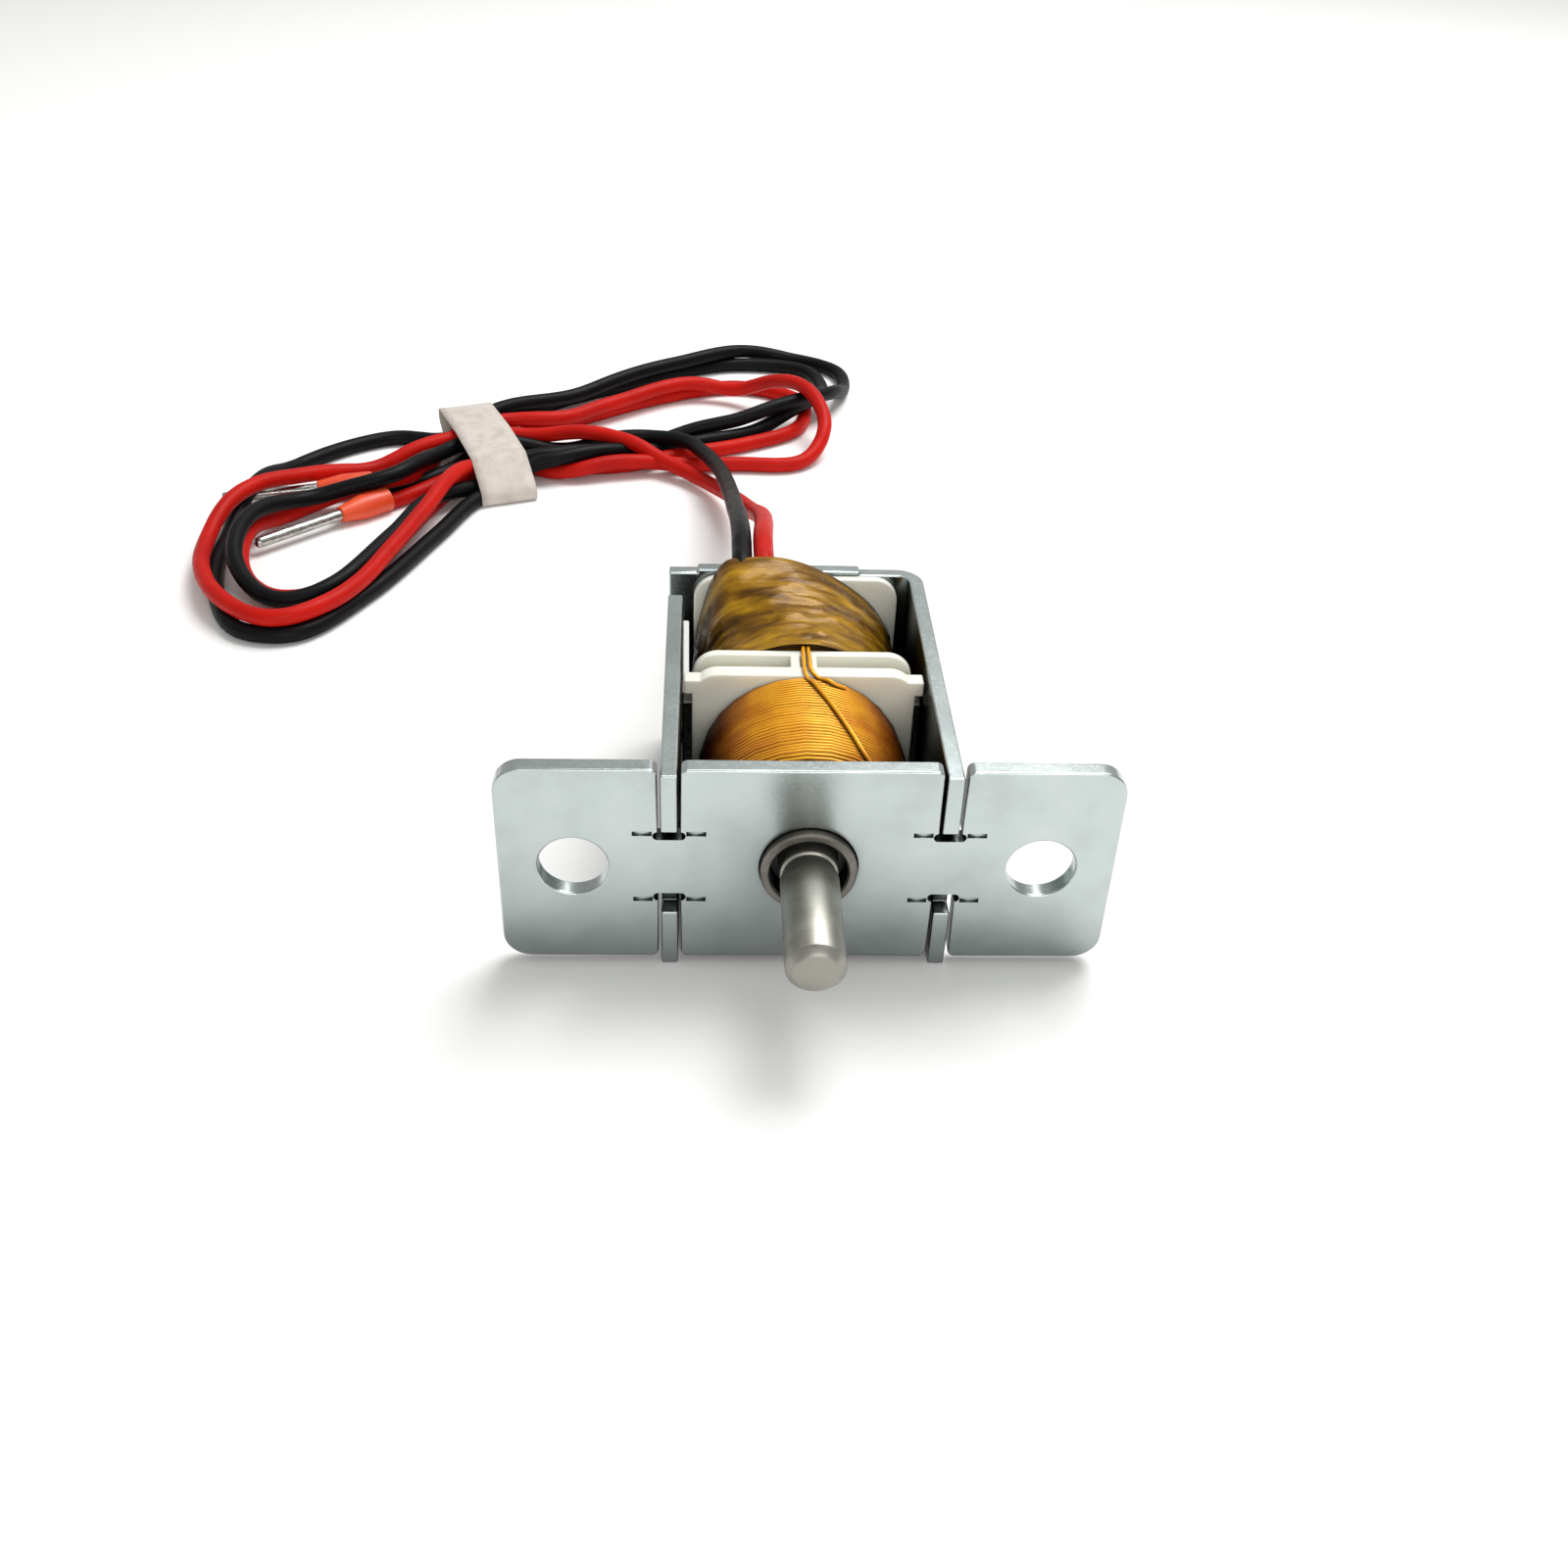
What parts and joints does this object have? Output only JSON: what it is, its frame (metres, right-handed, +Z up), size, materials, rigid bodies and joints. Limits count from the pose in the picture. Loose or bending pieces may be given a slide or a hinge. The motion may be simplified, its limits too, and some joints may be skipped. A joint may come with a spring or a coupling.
{
  "type": "push pull solenoid",
  "caption": "Open-frame push pull solenoid with a slotted mounting plate, coils on one bobbin, a sliding steel shaft and a folded pair of leads with end ferrules.",
  "frame": {"origin": "on the plunger's axis at the front face of the mounting plate, midway between the two ear holes", "axes": "-Y is the direction in which the shaft points out of the plate, +X runs along the plate to the right as seen from the front, +Z is up, away from the surface that the frame rests on"},
  "size_m": [0.0821, 0.1315, 0.0195],
  "materials": {
    "zinc_plated_steel": "bright zinc plating, faintly mottled",
    "plated_pole": "turned and plated",
    "turned_steel": "fine turned",
    "soft_iron": "satin",
    "magnet": "nickel plated",
    "brass": "drawn",
    "tinned_copper": "tinned, bright",
    "white_nylon": "moulded, slightly translucent",
    "black_plastic": "moulded",
    "damper_rubber": "matt",
    "enamelled_copper": "orange enamel over copper, fine turns",
    "amber_tape": "glossy, crumpled, translucent",
    "black_pvc": "soft sheen",
    "red_pvc": "soft sheen",
    "band_paper": "matt paper tape",
    "ferrule_collar": "moulded"
  },
  "bodies": {
    "root": {"front_plate": "zinc_plated_steel", "yoke": "zinc_plated_steel", "left_wall": "zinc_plated_steel", "front_pole": "plated_pole", "shaft_bush": "black_plastic", "front_damper": "damper_rubber", "guide_tube": "brass", "rear_pole": "plated_pole", "rear_damper": "damper_rubber", "bobbin": "white_nylon", "front_coil": "enamelled_copper", "rear_coil": "enamelled_copper", "crossover_wire": "enamelled_copper", "magnet_left": "magnet", "magnet_right": "magnet", "coil_tape": "amber_tape", "solder_joints": "tinned_copper", "black_lead": "black_pvc", "red_lead": "red_pvc", "lead_hank": "black_pvc", "hank_band": "band_paper", "black_collar": "ferrule_collar", "black_pin": "tinned_copper", "red_collar": "ferrule_collar", "red_pin": "tinned_copper"},
    "plunger": {"shaft": "turned_steel", "core": "soft_iron"}
  },
  "joints": [
    {"name": "plunger_slide", "type": "slide", "parent": "root", "child": "plunger", "axis": [0, 1, 0], "range_m": [0, 0.005]}
  ]
}
